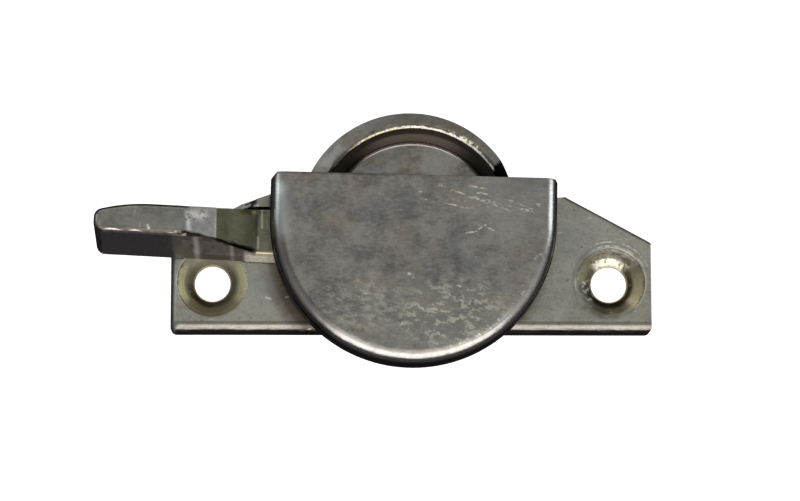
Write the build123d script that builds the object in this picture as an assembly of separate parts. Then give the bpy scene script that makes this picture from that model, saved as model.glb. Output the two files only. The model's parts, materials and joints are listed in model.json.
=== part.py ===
"""Window sweep lock: a base plate with two screw ears, a D-shaped cap, and a cup cam with its lever.

Millimetres, +Z up, X along the plate, +Y towards the keeper's side.
The origin is the middle of the line between the two screw holes, on the plate's underside.
At rest the lock is shut: the lever points to -X and the cup stands out behind the cap.
"""
from build123d import *
import math
import os

# Base plate, a die casting
screw_spacing = 57.15
screw_bore_radius = 2.57
screw_head_radius = 5.05
screw_head_angle = 82.0
plate_thickness = 3.3
plate_half_length = 34.5
plate_front = -7.35
ear_back = 5.75
shoulder_half = 22.2
shoulder_back = 12.4
shoulder_root_back = 12.2
left_shoulder_half = 24.4
left_shoulder_back = 11.2
left_shoulder_root_back = 12.8
seat_back = 14.0
seat_front = 9.0
seat_inset = 0.45
plate_corner_round = 0.85
plate_front_round = 1.4

# Stop lug on the left ear, which the shut lever comes to rest beside
lug_height = 1.9
lug_top_start = 22.1
lug_slope_run = 2.0
lug_front = 10.5
lug_back_inset = 0.25
lug_gap = 0.1

# Pivot
pivot_x = 0.1
pivot_y = 7.4
pin_radius = 2.0
pin_head_radius = 4.0
pin_head_thickness = 1.3
pin_head_recess = 0.2
pin_depth_in_cap = 2.3
pin_end_chamfer = 0.3
land_radius = 6.0
land_height = 0.4

# Clearances
turning_gap = 0.05
press_gap = 0.02
washer_bore_gap = 0.12
head_gap = 0.1
slot_gap = 0.4

# Cap, a hollow die casting that sits a little askew on its plate
cap_height = 14.0
cap_radius = 20.25
cap_back = 6.4
cap_wall = 1.8
cap_roof = 2.2
cap_edge_round = 2.2
cap_left_corner = 0.9
cap_right_corner = 0.4
cap_skew = -1.3
boss_radius = 4.5
boss_height = 1.2
leg_width = 3.5
leg_front = 3.95
leg_back = 6.0

# Riveted spigots under the cap's legs
spigot_radius = 0.75
spigot_gap = 0.03
spigot_head_radius = 1.15
spigot_head_depth = 0.6
spigot_recess = 0.15
spigot_from_back = 1.15
spigot_from_side = 2.0

# Cup cam
cup_outer_radius = 15.7
cup_outer_shift = -0.5
cup_mouth_radius = 13.6
cup_floor_radius = 12.35
cup_inner_shift = 0.0
cup_floor_thickness = 2.25
cup_depth = 5.2
cup_mouth_wear = 0.5
cup_mouth_wear_depth = 0.3
cup_cut = -4.4
cup_lead_angle = 20.0
ramp_angle = 35.0
ramp_slope = 42.0
hub_radius = 5.0
hub_height = 5.4

# Lever, one casting with the cam
lever_reach = 45.0
lever_lean = 2.9
lever_height = 8.65
lever_front_foot = -5.8
lever_front_draft = 15.0
lever_back_foot = 1.7
lever_back_draft = 8.0
nose_length = 8.0
nose_radius = 27.0
arm_thickness = 3.15
arm_start = 13.5
grip_end = 32.3
web_break = 27.95
web_break_drop = 1.9
web_break_round = 1.2
web_foot = 22.2
web_foot_round = 1.6
grip_tip_round = 1.3
grip_edge_round = 0.9

# Washers
thrust_washer_radius = 4.7
thrust_washer_thickness = 0.6
spring_washer_radius = 4.3
spring_washer_thickness = 0.3

# Worked out
cam_bottom = plate_thickness + land_height + turning_gap
arm_top = cam_bottom + arm_thickness
skirt_bottom = arm_top + slot_gap
ceiling = cap_height - cap_roof
boss_face = ceiling - boss_height
cup_floor = cam_bottom + cup_floor_thickness
cup_top = cup_floor + cup_depth
hub_top = cam_bottom + hub_height
thrust_top = hub_top + thrust_washer_thickness
pivot = Vector(pivot_x, pivot_y, 0)


def at(x, y, z):
    """A place that is given from the pivot in X and Y, and from the underside in Z."""
    return Pos(pivot.X + x, pivot.Y + y, z)


def tube(outer, inner, height):
    """A ring that stands on its own bottom face."""
    upright = (Align.CENTER, Align.CENTER, Align.MIN)
    return Cylinder(outer, height, align=upright) - Cylinder(inner, height, align=upright)


def rod(radius, height):
    """A round bar that stands on its own bottom face."""
    return Cylinder(radius, height, align=(Align.CENTER, Align.CENTER, Align.MIN))


def block(x0, x1, y0, y1, z0, z1):
    """A box between two corners."""
    return Pos(x0, y0, z0) * Box(x1 - x0, y1 - y0, z1 - z0, align=(Align.MIN,) * 3)


def spigot_centres():
    """Each spigot's place in the plate, from the pivot, with the cap's skew taken in."""
    across = cap_radius - spigot_from_side
    along = leg_back - spigot_from_back
    skew = math.radians(cap_skew)
    places = []
    for side in (-1, 1):
        x = side * across * math.cos(skew) - along * math.sin(skew)
        y = side * across * math.sin(skew) + along * math.cos(skew)
        places.append((x, y))
    return places


def plate_outline(inset, height):
    """The plate's outline, drawn in by an inset at its back, as a plain prism; its shoulders differ."""
    root = cap_radius - seat_inset
    corners = [
        (plate_half_length, plate_front),
        (plate_half_length, ear_back - inset),
        (shoulder_half, shoulder_back - inset),
        (root, shoulder_root_back - inset),
        (-root, left_shoulder_root_back - inset),
        (-left_shoulder_half, left_shoulder_back - inset),
        (-plate_half_length, ear_back - inset),
        (-plate_half_length, plate_front),
    ]
    return extrude(make_face(Polyline(*corners, close=True)), height)


def corner_cutter():
    """What the plate's square right-hand front corner loses to its upright round."""
    x = plate_half_length - plate_corner_round
    y = plate_front + plate_corner_round
    square = block(x, x + 2 * plate_corner_round, y - 2 * plate_corner_round, y, 0, plate_thickness)
    return square - Pos(x, y, 0) * rod(plate_corner_round, plate_thickness)


def ear_plate():
    """The flat plate with its two sloping shoulders; its front and left upper edges are well rounded."""
    plate = plate_outline(0, plate_thickness)
    uprights = plate.edges().filter_by(Axis.Z).group_by(Axis.Y)[0]
    plate = fillet(uprights.sort_by(Axis.X)[0], plate_corner_round)
    top = plate.faces().sort_by(Axis.Z)[-1].edges()
    front = [e for e in top if e.center().Y < plate_front + plate_corner_round]
    left = top.sort_by(Axis.X)[0]
    return fillet([left, *front], plate_front_round) - corner_cutter()


def stop_lug():
    """The low lug by the cap, with a slope up from the ear, kept inside the plate's own outline."""
    top = plate_thickness + lug_height
    inner = -(cap_radius - seat_inset + lug_gap)
    corners = [
        (-lug_top_start - lug_slope_run, plate_thickness),
        (-lug_top_start, top),
        (inner, top),
        (inner, plate_thickness),
    ]
    side = Plane(origin=(0, lug_front, 0), x_dir=(1, 0, 0), z_dir=(0, -1, 0))
    wedge = extrude(side * make_face(Polyline(*corners, close=True)), -seat_back)
    return wedge & plate_outline(lug_back_inset, top)


def screw_cutter():
    """The bore and the countersink of one wood screw."""
    sink_depth = (screw_head_radius - screw_bore_radius) / math.tan(math.radians(screw_head_angle / 2))
    sink = Cone(screw_bore_radius, screw_head_radius, sink_depth, align=(Align.CENTER, Align.CENTER, Align.MAX))
    bore = rod(screw_bore_radius, plate_thickness)
    return bore + Pos(0, 0, plate_thickness) * sink


def base_plate():
    """Ears, the cap's seat, the cam's land and every hole."""
    cap_side = cap_radius - seat_inset
    plate = ear_plate() + block(-cap_side, cap_side, seat_front, seat_back, 0, plate_thickness)
    plate += stop_lug()
    plate += at(0, 0, plate_thickness) * rod(land_radius, land_height)
    for side in (-1, 1):
        plate -= Pos(side * screw_spacing / 2, 0, 0) * screw_cutter()
    plate -= at(0, 0, 0) * rod(pin_radius + press_gap, cam_bottom)
    plate -= at(0, 0, 0) * rod(pin_head_radius + head_gap, pin_head_recess + pin_head_thickness)
    for x, y in spigot_centres():
        plate -= at(x, y, 0) * rod(spigot_radius + spigot_gap, plate_thickness)
        plate -= at(x, y, 0) * Cone(
            spigot_head_radius + spigot_gap,
            spigot_radius + spigot_gap,
            spigot_head_depth,
            align=(Align.CENTER, Align.CENTER, Align.MIN),
        )
    return plate


def d_outline(radius, back):
    """A half circle to the front of the pivot, straight sides, and a straight back edge."""
    sides = [
        Line((-radius, back), (-radius, 0)),
        CenterArc((0, 0), radius, 180, 180),
        Line((radius, 0), (radius, back)),
        Line((radius, back), (-radius, back)),
    ]
    return make_face(sides)


def cap_shell():
    """The D-shaped shell, open below and behind, with its rounded upper edge."""
    shell = Pos(0, 0, skirt_bottom) * extrude(d_outline(cap_radius, cap_back), cap_height - skirt_bottom)
    left, right = shell.edges().filter_by(Axis.Z).group_by(Axis.Y)[-1].sort_by(Axis.X)
    shell = chamfer(left, cap_left_corner)
    right = shell.edges().filter_by(Axis.Z).group_by(Axis.Y)[-1].sort_by(Axis.X)[-1]
    shell = chamfer(right, cap_right_corner)
    rim = shell.faces().sort_by(Axis.Z)[-1].edges()
    front = rim.filter_by(lambda e: e.center().Y < cap_back - cap_left_corner)
    shell = fillet(front, cap_edge_round)
    hollow = extrude(d_outline(cap_radius - cap_wall, cap_back + cap_wall), ceiling - skirt_bottom)
    return shell - Pos(0, 0, skirt_bottom) * hollow


def spigot():
    """A round spigot through the plate, with its end spun over into a flat countersunk head."""
    head = Cone(
        spigot_head_radius,
        spigot_radius,
        spigot_head_depth,
        align=(Align.CENTER, Align.CENTER, Align.MIN),
    )
    whole = head + rod(spigot_radius, plate_thickness)
    reach = 2 * spigot_head_radius
    return whole - block(-reach, reach, -reach, reach, 0, spigot_recess)


def housing_cap():
    """Shell, pivot boss, two legs and their spigots, cast as one piece and turned by its skew."""
    cap = cap_shell()
    for side in (-1, 1):
        inner_x = side * (cap_radius - leg_width)
        outer_x = side * (cap_radius - seat_inset)
        low, high = sorted((inner_x, outer_x))
        cap += block(low, high, leg_front, leg_back, plate_thickness, ceiling)
        centre = side * (cap_radius - spigot_from_side)
        cap += Pos(centre, leg_back - spigot_from_back, 0) * spigot()
    cap += Pos(0, 0, boss_face) * rod(boss_radius, boss_height)
    cap -= Pos(0, 0, boss_face) * rod(pin_radius + press_gap, pin_depth_in_cap)
    return at(0, 0, 0) * Rot(0, 0, cap_skew) * cap


def pivot_pin():
    """A headed steel pin, pressed up through the plate into the cap's boss."""
    top = boss_face + pin_depth_in_cap - press_gap
    head = rod(pin_head_radius, pin_head_thickness)
    head = chamfer(head.edges().sort_by(Axis.Z)[0], pin_end_chamfer)
    shank = rod(pin_radius, top - pin_head_recess)
    shank = chamfer(shank.edges().sort_by(Axis.Z)[-1], pin_end_chamfer)
    return at(0, 0, pin_head_recess) * (head + shank)


def cup():
    """The open cup with its hub: an upturned rim on a floor, cut off flat towards the front."""
    body = Pos(cup_outer_shift, 0, cam_bottom) * rod(cup_outer_radius, cup_top - cam_bottom)
    inside = Cone(
        cup_floor_radius,
        cup_mouth_radius,
        cup_depth,
        align=(Align.CENTER, Align.CENTER, Align.MIN),
    )
    wall_flare = (cup_mouth_radius - cup_floor_radius) / cup_depth
    worn_edge = Cone(
        cup_mouth_radius - wall_flare * cup_mouth_wear_depth,
        cup_mouth_radius + cup_mouth_wear,
        cup_mouth_wear_depth,
        align=(Align.CENTER, Align.CENTER, Align.MAX),
    )
    body -= Pos(cup_inner_shift, 0, cup_floor) * inside
    body -= Pos(cup_inner_shift, 0, cup_top) * worn_edge
    reach = 2 * cup_outer_radius
    body -= block(-reach, reach, -reach, cup_cut, 0, cap_height)
    body -= Rot(0, 0, cup_lead_angle) * block(0, reach, -reach, 0, cup_floor, cap_height)
    body -= lead_in()
    body += Pos(0, 0, cam_bottom) * rod(hub_radius, hub_height)
    return body


def lead_in():
    """What the sloping lead-in takes off the rim's right-hand end."""
    turn = math.radians(ramp_angle)
    slope = math.radians(ramp_slope)
    radial = Vector(math.cos(turn), math.sin(turn), 0)
    onward = Vector(math.sin(turn), -math.cos(turn), 0)
    normal = onward * math.sin(slope) + Vector(0, 0, 1) * math.cos(slope)
    top = radial * cup_mouth_radius + Vector(0, 0, cup_top)
    cut = Box(cup_outer_radius, cup_outer_radius, cup_outer_radius, align=(Align.CENTER, Align.CENTER, Align.MIN))
    return Plane(origin=top, x_dir=radial, z_dir=normal) * cut


def lever_back():
    """Everything before the lever's drafted back face, which is straight, then bows in towards the tip."""
    lean = lever_height * math.tan(math.radians(lever_back_draft))
    nose_start = -(lever_reach - nose_length)
    corners = [
        (lever_back_foot, 0),
        (-nose_radius, 0),
        (-nose_radius, lever_height),
        (lever_back_foot - lean, lever_height),
    ]
    across = Plane(origin=(nose_start, 0, cam_bottom), x_dir=(0, 1, 0), z_dir=(1, 0, 0))
    straight = extrude(across * make_face(Polyline(*corners, close=True)), lever_reach)
    nose = Cone(nose_radius, nose_radius - lean, lever_height, align=(Align.CENTER, Align.CENTER, Align.MIN))
    return straight + Pos(nose_start, lever_back_foot - nose_radius, cam_bottom) * nose


def lever_front():
    """Everything behind the lever's front face, which leans in by its own draft."""
    lean = lever_height * math.tan(math.radians(lever_front_draft))
    far = 2 * lever_reach
    corners = [
        (lever_front_foot, 0),
        (far, 0),
        (far, lever_height),
        (lever_front_foot + lean, lever_height),
    ]
    across = Plane(origin=(-far, 0, cam_bottom), x_dir=(0, 1, 0), z_dir=(1, 0, 0))
    return extrude(across * make_face(Polyline(*corners, close=True)), far)


def lever_side():
    """The lever's outline from the front: level grip, two sloping facets, and the low arm."""
    high = cam_bottom + lever_height
    corners = [
        (-lever_reach, cam_bottom),
        (-lever_reach, high),
        (-grip_end, high),
        (-web_break, high - web_break_drop),
        (-web_foot, arm_top),
        (-arm_start, arm_top),
        (-arm_start, cam_bottom),
    ]
    face = make_face(Polyline(*corners, close=True))
    foot = face.vertices().sort_by_distance((-web_foot, arm_top, 0))[0]
    face = fillet(foot, web_foot_round)
    bend = face.vertices().sort_by_distance((-web_break, high - web_break_drop, 0))[0]
    face = fillet(bend, web_break_round)
    upright = Plane(origin=(0, 0, 0), x_dir=(1, 0, 0), z_dir=(0, -1, 0))
    return extrude(upright * face, amount=2 * cup_outer_radius, both=True)


def lever():
    """The lever by itself, as cast: three outlines cut together, with its grip rounded for the finger."""
    bar = lever_back() & lever_front() & lever_side()
    end_face = bar.faces().sort_by(Axis.X)[0]
    corners = end_face.edges().filter_by(lambda e: abs(e.tangent_at(0.5).Z) > 0.5)
    bar = fillet(corners, grip_tip_round)
    grip_top = bar.faces().filter_by(lambda f: f.center().X < -grip_end).sort_by(Axis.Z)[-1]
    rounded = grip_top.edges().filter_by(lambda e: e.center().X < -grip_end - grip_edge_round)
    return fillet(rounded, grip_edge_round)


def cam_lever():
    """Cup cam and lever as one casting, bored for the pin."""
    heel = make_face(
        Polyline(
            (-arm_start - 1, lever_front_foot),
            (-arm_start - 1, lever_back_foot),
            (0, lever_back_foot),
            (0, cup_cut),
            close=True,
        )
    )
    heel = Pos(0, 0, cam_bottom) * extrude(heel, cup_floor_thickness)
    arm = Rot(0, 0, -lever_lean) * (lever() + heel)
    casting = cup() + arm
    casting -= Pos(0, 0, cam_bottom) * rod(pin_radius + turning_gap, hub_height)
    return at(0, 0, 0) * casting


def thrust_washer():
    """A flat steel washer on the cam's hub."""
    ring = tube(thrust_washer_radius, pin_radius + washer_bore_gap, thrust_washer_thickness)
    return at(0, 0, hub_top) * ring


def spring_washer():
    """A ring of spring steel bent to a bow, held between the flat washer and the cap's boss."""
    room = boss_face - thrust_top - 2 * turning_gap
    bow = room - spring_washer_thickness
    bend = (spring_washer_radius**2 + bow**2) / (2 * bow)
    top = boss_face - turning_gap
    lying = Rot(0, 90, 0)
    outside = lying * Cylinder(bend + spring_washer_thickness, 3 * spring_washer_radius)
    inside = lying * Cylinder(bend, 3 * spring_washer_radius)
    sheet = Pos(0, 0, top - bend - spring_washer_thickness) * (outside - inside)
    ring = tube(spring_washer_radius, pin_radius + washer_bore_gap, ceiling)
    return at(0, 0, 0) * (sheet & ring)


PIECES = {
    "base_plate": base_plate,
    "housing_cap": housing_cap,
    "pivot_pin": pivot_pin,
    "cam_lever": cam_lever,
    "thrust_washer": thrust_washer,
    "spring_washer": spring_washer,
}

os.makedirs("parts", exist_ok=True)
for name, make in PIECES.items():
    piece = make()
    export_step(piece, f"parts/{name}.step")
    print(name, len(piece.solids()), round(piece.volume, 2))
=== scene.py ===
"""Looks for an old, worn, die-cast window sweep lock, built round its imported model. Metres, +Z up."""

import json
import logging
import math
from collections.abc import Callable
from dataclasses import dataclass, field
from enum import Enum
from typing import Any

import bpy
from mathutils import Matrix, Vector

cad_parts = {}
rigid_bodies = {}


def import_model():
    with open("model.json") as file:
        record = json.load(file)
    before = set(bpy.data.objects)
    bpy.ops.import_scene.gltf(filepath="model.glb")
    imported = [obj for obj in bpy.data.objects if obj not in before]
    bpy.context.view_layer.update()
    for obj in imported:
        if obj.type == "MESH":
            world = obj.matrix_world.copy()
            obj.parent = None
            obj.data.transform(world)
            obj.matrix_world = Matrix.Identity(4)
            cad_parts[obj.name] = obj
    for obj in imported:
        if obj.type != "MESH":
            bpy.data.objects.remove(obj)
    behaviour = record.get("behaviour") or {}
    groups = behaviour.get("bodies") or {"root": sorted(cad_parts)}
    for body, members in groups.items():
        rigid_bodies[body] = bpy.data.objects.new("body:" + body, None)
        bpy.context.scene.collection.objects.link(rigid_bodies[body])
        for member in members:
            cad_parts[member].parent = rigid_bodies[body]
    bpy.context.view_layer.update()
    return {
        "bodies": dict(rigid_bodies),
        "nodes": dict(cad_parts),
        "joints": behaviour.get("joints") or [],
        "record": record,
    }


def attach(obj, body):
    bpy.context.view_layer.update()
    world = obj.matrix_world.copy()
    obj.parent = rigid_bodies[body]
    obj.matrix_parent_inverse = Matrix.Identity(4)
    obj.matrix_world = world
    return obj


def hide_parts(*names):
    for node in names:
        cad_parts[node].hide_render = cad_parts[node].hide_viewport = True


MM = 0.001
PICTURE_WIDTH = 800

log = logging.getLogger("sweep_lock")

Colour = tuple[float, float, float]
Point = tuple[float, float]
Triple = tuple[float, float, float]

PIVOT: Point = (0.1, 7.4)
EDGE_TINT: Colour = (0.50, 0.49, 0.50)
WALL_TINT: Colour = (0.26, 0.255, 0.26)
# bare and golden zinc of the rim's worn edge, painted bright as its highlight too
BARE_ZINC_HIGHLIGHT: Colour = (0.80, 0.79, 0.74)
GOLD_ZINC_HIGHLIGHT: Colour = (0.86, 0.76, 0.50)


class Body(Enum):
    """The two bodies of the lock."""

    HOUSING = "housing"
    LEVER = "lever"


class Slot(Enum):
    """The record's material slots."""

    PLATE = "plate_casting"
    CAP = "cap_casting"
    LEVER = "lever_casting"
    PIN = "pin_steel"
    WASHER = "washer_steel"


def maths(operation: str, swapped: bool = False) -> "Callable[..., Value]":
    """A method of Value that adds one Math node.

    Args:
        operation: the node's operation.
        swapped: whether the other number comes first, as a reflected operator has it.

    Returns:
        The method.
    """
    def method(this: "Value", other: "Value | float" = 0.0) -> "Value":
        """The operation's result."""
        first, second = (other, this) if swapped else (this, other)
        return this.tree.node("Math", {"operation": operation}, {0: first, 1: second})

    return method


class Value:
    """An output socket that sums can be written with; each sum adds its Math node. Angles are in radians."""

    def __init__(self, tree: "Tree", socket: bpy.types.NodeSocket) -> None:
        """Keeps the socket and the tree that it belongs to."""
        self.tree = tree
        self.socket = socket

    __add__ = maths("ADD")
    __radd__ = maths("ADD", swapped=True)
    __sub__ = maths("SUBTRACT")
    __rsub__ = maths("SUBTRACT", swapped=True)
    __mul__ = maths("MULTIPLY")
    __rmul__ = maths("MULTIPLY", swapped=True)
    __abs__ = maths("ABSOLUTE")
    most = maths("MAXIMUM")
    angle = maths("ARCTAN2")
    root = maths("SQRT")
    sine = maths("SINE")

    def ramp(self, low: float, high: float, top: float = 1.0) -> "Value":
        """0 at low, top at high, smooth between, and level outside; low may be the larger."""
        if low > high:
            return top - self.ramp(high, low, top)
        return self.tree.node("MapRange", {"interpolation_type": "SMOOTHSTEP"},
                              {"Value": self, 1: low, 2: high, 3: 0.0, 4: top})

    def band(self, low: float, high: float, soft: float) -> "Value":
        """1 between low and high, falling to 0 over a soft width outside them."""
        return self.ramp(low - soft, low) * self.ramp(high + soft, high)


@dataclass
class Place:
    """Coordinates in millimetres about a chosen point, turned by a chosen angle."""

    vector: Value
    x: Value
    y: Value
    z: Value

    def radius(self) -> Value:
        """Distance from the chosen point, seen from above."""
        return (self.x * self.x + self.y * self.y).root()

    def bearing(self) -> Value:
        """Angle round the chosen point in degrees, from -180 to 180."""
        return self.y.angle(self.x) * (180.0 / math.pi)

    def towards(self, bearing: float, none: float, full: float, top: float = 1.0) -> Value:
        """0 at none degrees from a bearing, top at full degrees from it, and smooth between."""
        return abs(self.bearing() - bearing).ramp(none, full, top)


class Tree:
    """A node tree that nodes are added to, a material's or the room's."""

    def __init__(self, tree: bpy.types.NodeTree) -> None:
        """Keeps the tree."""
        self.tree = tree

    def feed(self, socket: bpy.types.NodeSocket, value: Any) -> None:
        """Links a Value to a socket, or sets a plain number or colour on it."""
        if isinstance(value, Value):
            self.tree.links.new(value.socket, socket)
        elif socket.type == "RGBA" and isinstance(value, tuple):
            socket.default_value = (*value, 1.0)
        else:
            socket.default_value = value

    def node(self, kind: str, settings: dict, values: dict, output: int | str = 0) -> Value:
        """Adds any node.

        Args:
            kind: the node's type without its ShaderNode prefix.
            settings: its own settings, which are set first.
            values: what its input sockets get, by name or number.
            output: which output socket to return.

        Returns:
            The chosen output.
        """
        made = self.tree.nodes.new("ShaderNode" + kind)
        for key, setting in settings.items():
            setattr(made, key, setting)
        for key, value in values.items():
            self.feed(made.inputs[key], value)
        return Value(self, made.outputs[output])

    def axes(self, vector: Value) -> list[Value]:
        """The x, y and z of a vector."""
        parts = self.tree.nodes.new("ShaderNodeSeparateXYZ")
        self.feed(parts.inputs[0], vector)
        return [Value(self, part) for part in parts.outputs]

    def mix(self, factor: Value | float, first: Value | Colour, second: Value | Colour) -> Value:
        """The first colour at factor 0 and the second at 1."""
        return self.node("Mix", {"data_type": "RGBA"}, {0: factor, 6: first, 7: second}, 2)


class Recipe(Tree):
    """One material's node tree: a metal shader and whatever feeds it. Lengths are in millimetres."""

    def __init__(self, name: str) -> None:
        """Starts an empty tree with its shader and output."""
        self.material = bpy.data.materials.new(name)
        self.material.use_nodes = True
        super().__init__(self.material.node_tree)
        self.tree.nodes.clear()
        self.shader = self.tree.nodes.new("ShaderNodeBsdfPrincipled")
        output = self.tree.nodes.new("ShaderNodeOutputMaterial")
        self.tree.links.new(self.shader.outputs[0], output.inputs["Surface"])
        self.object_coordinates = self.node("TexCoord", {}, {}, "Object")

    def place(self, centre: Point = (0.0, 0.0), turn: float = 0.0, stretch: Triple = (1.0, 1.0, 1.0)) -> Place:
        """Object coordinates in millimetres about a centre, turned so that a line at the turn lies along x.

        Args:
            centre: the point that becomes the origin, in millimetres.
            turn: degrees anticlockwise from +X of the direction that becomes +x.
            stretch: factors on x, y and z after the turn.

        Returns:
            The place, with its vector and its three coordinates.
        """
        moved = self.node("VectorMath", {"operation": "MULTIPLY_ADD"},
                          {0: self.object_coordinates, 1: (1 / MM,) * 3, 2: (-centre[0], -centre[1], 0.0)})
        turned = self.node("VectorRotate", {"rotation_type": "Z_AXIS"},
                           {"Vector": moved, "Angle": math.radians(-turn)})
        vector = self.node("VectorMath", {"operation": "MULTIPLY"}, {0: turned, 1: stretch})
        return Place(vector, *self.axes(vector))

    def noise(self, place: Place, scale: float, detail: float = 3.0, roughness: float = 0.55) -> Value:
        """Soft noise from 0 to 1, with features about 1/scale millimetres across."""
        return self.node("TexNoise", {}, {"Vector": place.vector, "Scale": scale, "Detail": detail,
                                          "Roughness": roughness})

    def patchy(self, place: Place, scale: float, low: float, high: float, top: float = 1.0,
               detail: float = 3.0) -> Value:
        """Patches of soft noise: 0 where the noise is at low, top where it is at high."""
        return self.noise(place, scale, detail).ramp(low, high, top)

    def specks(self, place: Place, scale: float, size: float) -> Value:
        """Small round specks: 1 inside a speck, 0 outside; a stretched place makes strokes of them."""
        near = self.node("TexVoronoi", {"feature": "F1"}, {"Vector": place.vector, "Scale": scale}, "Distance")
        return near.ramp(size, size * 0.5)

    def spot(self, centre: Point, stretch: Triple, none: float, full: float, top: float = 1.0) -> Value:
        """A soft oval: top within full of its centre, falling to 0 at none, on a stretched place."""
        return self.place(centre, 0.0, stretch).radius().ramp(none, full, top)

    def patch(self, centre: Point, size: Point, turn: float = 0.0, soft: float = 0.3) -> Value:
        """A soft-edged rectangle: 1 inside, 0 outside.

        Args:
            centre: its middle.
            size: its length and width.
            turn: degrees anticlockwise from +X of its length.
            soft: width of its soft edge.

        Returns:
            The mask.
        """
        spot = self.place(centre, turn)
        along = abs(spot.x).ramp(size[0] / 2 + soft, size[0] / 2 - soft)
        across = abs(spot.y).ramp(size[1] / 2 + soft, size[1] / 2 - soft)
        return along * across

    def ring(self, centre: Point, radius: float, width: float, soft: float, towards: float | None = None,
             spread: float = 60.0) -> Value:
        """A ring, or the arc of it that lies within spread degrees of the direction towards.

        Args:
            centre: its centre.
            radius: radius of its middle line.
            width: full width of its level part.
            soft: width of its soft edges.
            towards: bearing of the arc's middle in degrees, or None for the whole ring.
            spread: half the arc's angle, in degrees.

        Returns:
            The mask.
        """
        spot = self.place(centre, towards or 0.0)
        mask = spot.radius().band(radius - width / 2, radius + width / 2, soft)
        if towards is None:
            return mask
        return mask * abs(spot.bearing()).ramp(spread, spread * 0.6)

    def tint(self, colour: Value, mask: Value | float, by: Colour) -> Value:
        """The colour times by where the mask is 1."""
        return self.node("Mix", {"data_type": "RGBA", "blend_type": "MULTIPLY"}, {0: mask, 6: colour, 7: by}, 2)

    def finish(self, colour: Value, roughness: Value, height: Value, edge: Colour = EDGE_TINT,
               depth: float = 0.1) -> bpy.types.Material:
        """Feeds the shader.

        Args:
            colour: base colour.
            roughness: roughness.
            height: bump height.
            edge: how the metal looks edge-on.
            depth: the bump's strength.

        Returns:
            The finished material.
        """
        bump = self.node("Bump", {}, {"Height": height, "Strength": depth, "Distance": MM})
        for name, value in {"Metallic": 1.0, "Specular Tint": edge, "Base Color": colour, "Roughness": roughness,
                            "Normal": bump}.items():
            self.feed(self.shader.inputs[name], value)
        return self.material


@dataclass(frozen=True)
class Patina:
    """The greys of one casting's old surface, and how rough and uneven it is."""

    name: str
    dark: Colour
    light: Colour
    warm: Colour
    cool: Colour
    roughness: float
    roughness_spread: float
    cloud_scale: float
    grain_scale: float
    grain_depth: float
    mottling: float
    blotch: Colour = (0.78, 0.77, 0.75)
    fleck: Colour = (0.72, 0.72, 0.71)


class Skin(Recipe):
    """A casting's material while stains, wear, painted highlights and painted shade are laid on it, one after another.
    """

    least_roughness = 0.08

    def __init__(self, patina: Patina) -> None:
        """Lays the plain worn ground of the casting."""
        super().__init__(patina.name)
        place = self.whole = self.place()
        clouds = self.noise(place, patina.cloud_scale, 6.0, 0.72)
        warmth = self.noise(place, patina.cloud_scale * 0.9, 4.0, 0.6)
        blotches = self.noise(self.place((11.0, 4.0), 8.0, (0.8, 1.25, 1.0)), patina.cloud_scale * 3.2, 4.0, 0.62)
        grain = self.noise(place, patina.grain_scale, 4.0, 0.6)
        colour = self.mix(clouds.ramp(0.36, 0.64), patina.dark, patina.light)
        colour = self.mix(warmth.ramp(0.48, 0.66, 0.5 * patina.mottling), colour, patina.warm)
        colour = self.mix(warmth.ramp(0.50, 0.34, 0.45 * patina.mottling), colour, patina.cool)
        colour = self.tint(colour, blotches.ramp(0.50, 0.64, 0.6), patina.blotch)
        colour = self.mix(blotches.ramp(0.45, 0.34, 0.5), colour, patina.light)
        self.colour = self.tint(colour, grain.ramp(0.46, 0.62, 0.4), patina.fleck)
        self.roughness = patina.roughness + (grain - 0.5) * patina.roughness_spread
        self.height = grain * patina.grain_depth + blotches * (patina.grain_depth * 1.5)

    def stain(self, mask: Value, by: Colour, rougher: float = 0.0) -> None:
        """Multiplies the colour by a stain or by painted shade inside the mask, and adds to its roughness."""
        self.colour = self.tint(self.colour, mask, by)
        if rougher:
            self.roughness = self.roughness + mask * rougher

    def rub(self, mask: Value, bare: Colour | Value, smoother: float = 0.0, depth: float = 0.0) -> None:
        """Lays a colour inside the mask: bare metal, a painted highlight or painted shade.

        Args:
            mask: where the colour is laid.
            bare: its colour.
            smoother: how much its roughness falls; below 0, it rises.
            depth: how deep it is scratched, in millimetres.
        """
        self.colour = self.mix(mask, self.colour, bare)
        if smoother:
            self.roughness = self.roughness - mask * smoother
        if depth:
            self.height = self.height - mask * depth

    def done(self, edge: Colour = EDGE_TINT) -> bpy.types.Material:
        """Feeds the shader with what has been laid down; edge is how the metal looks edge-on."""
        return self.finish(self.colour, self.roughness.most(self.least_roughness), self.height, edge)


PLATE_PATINA = Patina(
    name="plate_zinc", dark=(0.41, 0.405, 0.345), light=(0.54, 0.53, 0.455), warm=(0.49, 0.45, 0.35),
    cool=(0.44, 0.46, 0.43), roughness=0.27, roughness_spread=0.16, cloud_scale=0.22, grain_scale=2.4,
    grain_depth=0.006, mottling=1.0)
CAP_PATINA = Patina(
    name="cap_zinc", dark=(0.235, 0.232, 0.215), light=(0.415, 0.405, 0.365), warm=(0.40, 0.35, 0.285),
    cool=(0.25, 0.257, 0.252), roughness=0.26, roughness_spread=0.18, cloud_scale=0.27, grain_scale=2.2,
    grain_depth=0.007, mottling=1.2)
LEVER_PATINA = Patina(
    name="lever_zinc", dark=(0.26, 0.255, 0.23), light=(0.40, 0.395, 0.355), warm=(0.36, 0.325, 0.27),
    cool=(0.28, 0.29, 0.28), roughness=0.25, roughness_spread=0.14, cloud_scale=0.24, grain_scale=2.6,
    grain_depth=0.006, mottling=1.3)


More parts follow.
